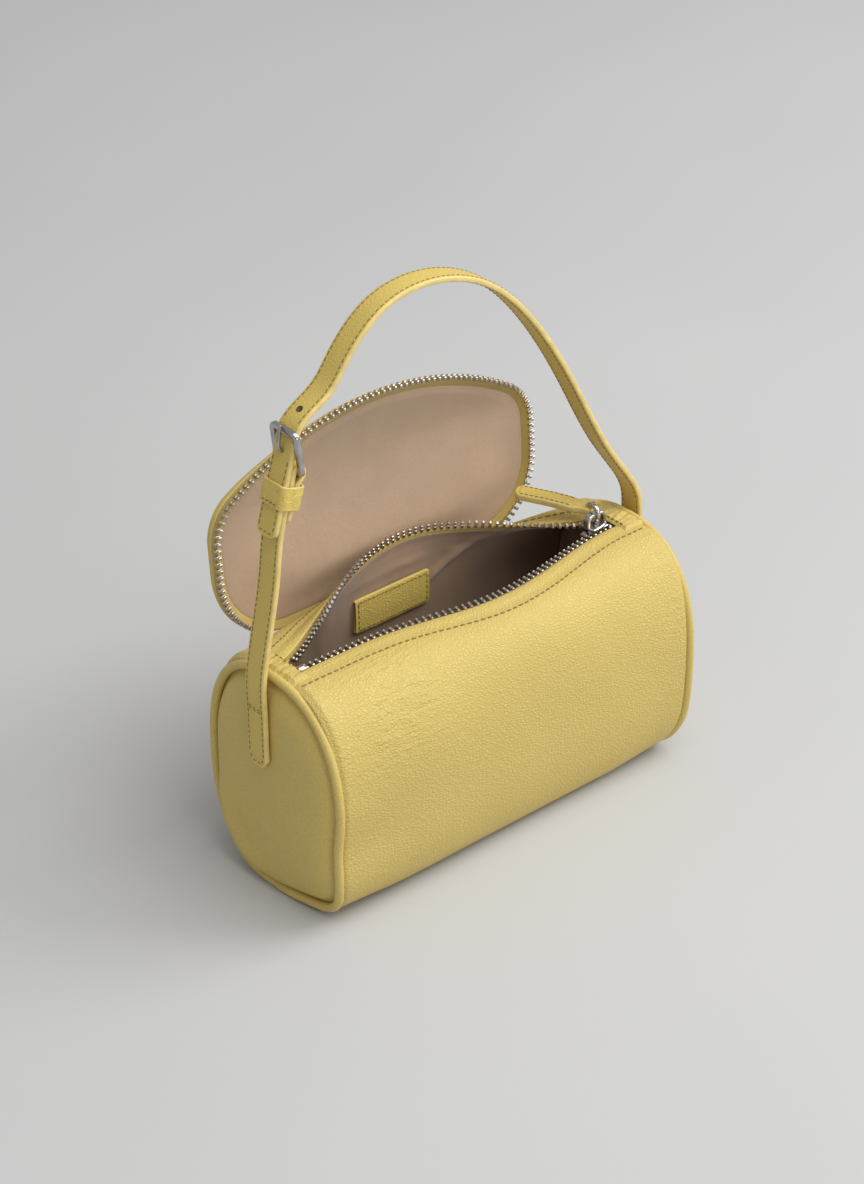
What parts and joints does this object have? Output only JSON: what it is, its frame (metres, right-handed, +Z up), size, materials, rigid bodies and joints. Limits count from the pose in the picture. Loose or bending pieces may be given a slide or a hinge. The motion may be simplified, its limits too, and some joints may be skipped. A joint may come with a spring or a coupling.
{
  "type": "barrel handbag",
  "caption": "Small leather barrel bag with its top zip open, a zip-edged lid standing behind the mouth and a buckled carrying strap; lid, strap, slider and pull move.",
  "frame": {"origin": "the middle of the flat base, on the surface the bag stands on", "axes": "+X along the barrel to the end with the zip slider, +Y to the rear where the lid stands, +Z up"},
  "size_m": [0.2149, 0.1054, 0.2615],
  "materials": {
    "body_leather": "pebbled yellow leather, semi-matt",
    "strap_leather": "smooth mustard leather, satin",
    "lining_fabric": "mauve-taupe woven lining, matt",
    "lid_fabric": "beige woven lining, matt",
    "tape_fabric": "woven zip tape, matt",
    "stiffener_board": "plain stiffener sheet",
    "zip_metal": "plain bright zip metal",
    "bright_metal": "polished nickel plate"
  },
  "bodies": {
    "barrel": {"body_panel": "body_leather", "body_lining": "lining_fabric", "left_end_panel": "body_leather", "right_end_panel": "body_leather", "left_end_board": "stiffener_board", "right_end_board": "stiffener_board", "left_end_lining": "lining_fabric", "right_end_lining": "lining_fabric", "left_piping": "body_leather", "right_piping": "body_leather", "front_zip_facing": "body_leather", "rear_zip_facing": "body_leather", "front_zip_tape": "tape_fabric", "rear_zip_tape": "tape_fabric", "front_zip_teeth": "zip_metal", "rear_zip_teeth": "zip_metal", "left_zip_tab": "body_leather", "right_zip_tab": "body_leather", "zip_box_stop": "zip_metal", "zip_right_stops": "zip_metal", "lining_patch": "body_leather", "left_strap_anchor": "strap_leather", "right_strap_anchor": "strap_leather", "lid_hinge_anchor": "body_leather"},
    "lid": {"lid_wall": "body_leather", "lid_panel": "body_leather", "lid_board": "stiffener_board", "lid_zip_tape": "tape_fabric", "lid_lining": "lid_fabric", "lid_piping": "body_leather", "lid_zip_teeth": "zip_metal", "lid_zip_stops": "zip_metal", "lid_hinge_strip": "body_leather"},
    "slider": {"zip_slider": "bright_metal"},
    "pull": {"pull_ring": "bright_metal", "pull_tab": "body_leather"},
    "handle": {"long_strap": "strap_leather", "buckle_strap": "strap_leather", "buckle_frame": "bright_metal", "keeper_loop": "strap_leather"},
    "prong": {"buckle_prong": "bright_metal"}
  },
  "joints": [
    {"name": "lid_hinge", "type": "hinge", "parent": "barrel", "child": "lid", "pos_m": [0, 0.04698, 0.11571], "axis": [1, 0, 0], "range_deg": [0, 72]},
    {"name": "slider_slide", "type": "slide", "parent": "barrel", "child": "slider", "axis": [-1, 0, 0], "range_m": [0, 0.153]},
    {"name": "pull_flip", "type": "hinge", "parent": "slider", "child": "pull", "pos_m": [0.0805, 0, 0.1162], "axis": [-1, 0, 0], "range_deg": [-160, 0]},
    {"name": "handle_swing", "type": "hinge", "parent": "barrel", "child": "handle", "pos_m": [0, 0.003, 0.1064], "axis": [1, 0, 0], "range_deg": [-28, 55]},
    {"name": "prong_lift", "type": "hinge", "parent": "handle", "child": "prong", "pos_m": [-0.08452, 0.003, 0.19914], "axis": [0, -1, 0], "range_deg": [0, 5]}
  ]
}
